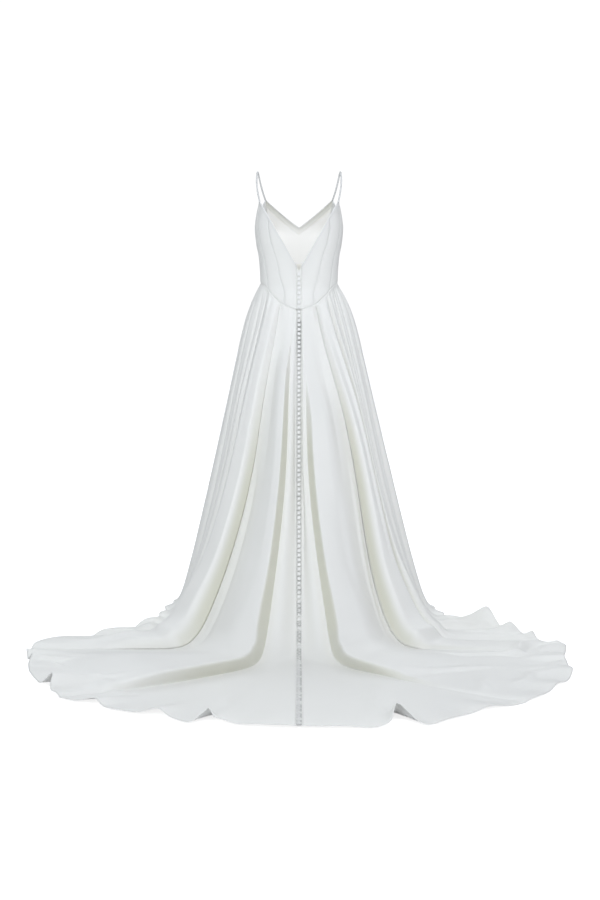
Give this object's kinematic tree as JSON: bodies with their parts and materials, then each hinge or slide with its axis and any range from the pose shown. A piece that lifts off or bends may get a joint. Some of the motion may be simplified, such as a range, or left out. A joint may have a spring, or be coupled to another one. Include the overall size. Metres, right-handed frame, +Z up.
{
  "type": "wedding dress",
  "caption": "Hollow full-length satin wedding dress with spaghetti straps, V back, pointed waist, pleated skirt, back buttons and a long train.",
  "frame": {"origin": "midway between the tops of the two shoulder straps, where the wearer's shoulders hold the dress; the floor under the hem is at Z = -1.432 m", "axes": "+Z up, -Y to the wearer's front, +X to the wearer's left; the train lies toward +Y"},
  "size_m": [1.5603, 1.74, 1.4315],
  "materials": {
    "satin_bodice": "satin",
    "satin_skirt": "satin",
    "satin_piping": "satin",
    "lining": "satin",
    "facing": "satin",
    "covered_button": "satin"
  },
  "bodies": {
    "root": {"bodice_back_left": "satin_bodice", "bodice_back_right": "satin_bodice", "bodice_side_back_left": "satin_bodice", "bodice_side_back_right": "satin_bodice", "bodice_side_left": "satin_bodice", "bodice_side_right": "satin_bodice", "bodice_side_front_left": "satin_bodice", "bodice_side_front_right": "satin_bodice", "bodice_front": "satin_bodice", "placket_bodice": "satin_bodice", "skirt_back_left": "satin_skirt", "skirt_side_back_left": "satin_skirt", "skirt_side_front_left": "satin_skirt", "skirt_front": "satin_skirt", "skirt_side_front_right": "satin_skirt", "skirt_side_back_right": "satin_skirt", "skirt_back_right": "satin_skirt", "binding_back_left": "satin_piping", "binding_back_right": "satin_piping", "binding_armhole_left": "satin_piping", "binding_armhole_right": "satin_piping", "binding_front": "satin_piping", "strap_left": "satin_piping", "strap_right": "satin_piping", "front_lining": "lining", "front_facing": "facing", "button_01": "covered_button", "button_02": "covered_button", "button_03": "covered_button", "button_04": "covered_button", "button_05": "covered_button", "button_06": "covered_button", "button_07": "covered_button", "button_08": "covered_button", "placket_skirt_upper": "covered_button", "placket_skirt_lower": "covered_button", "placket_train": "covered_button"}
  },
  "joints": []
}
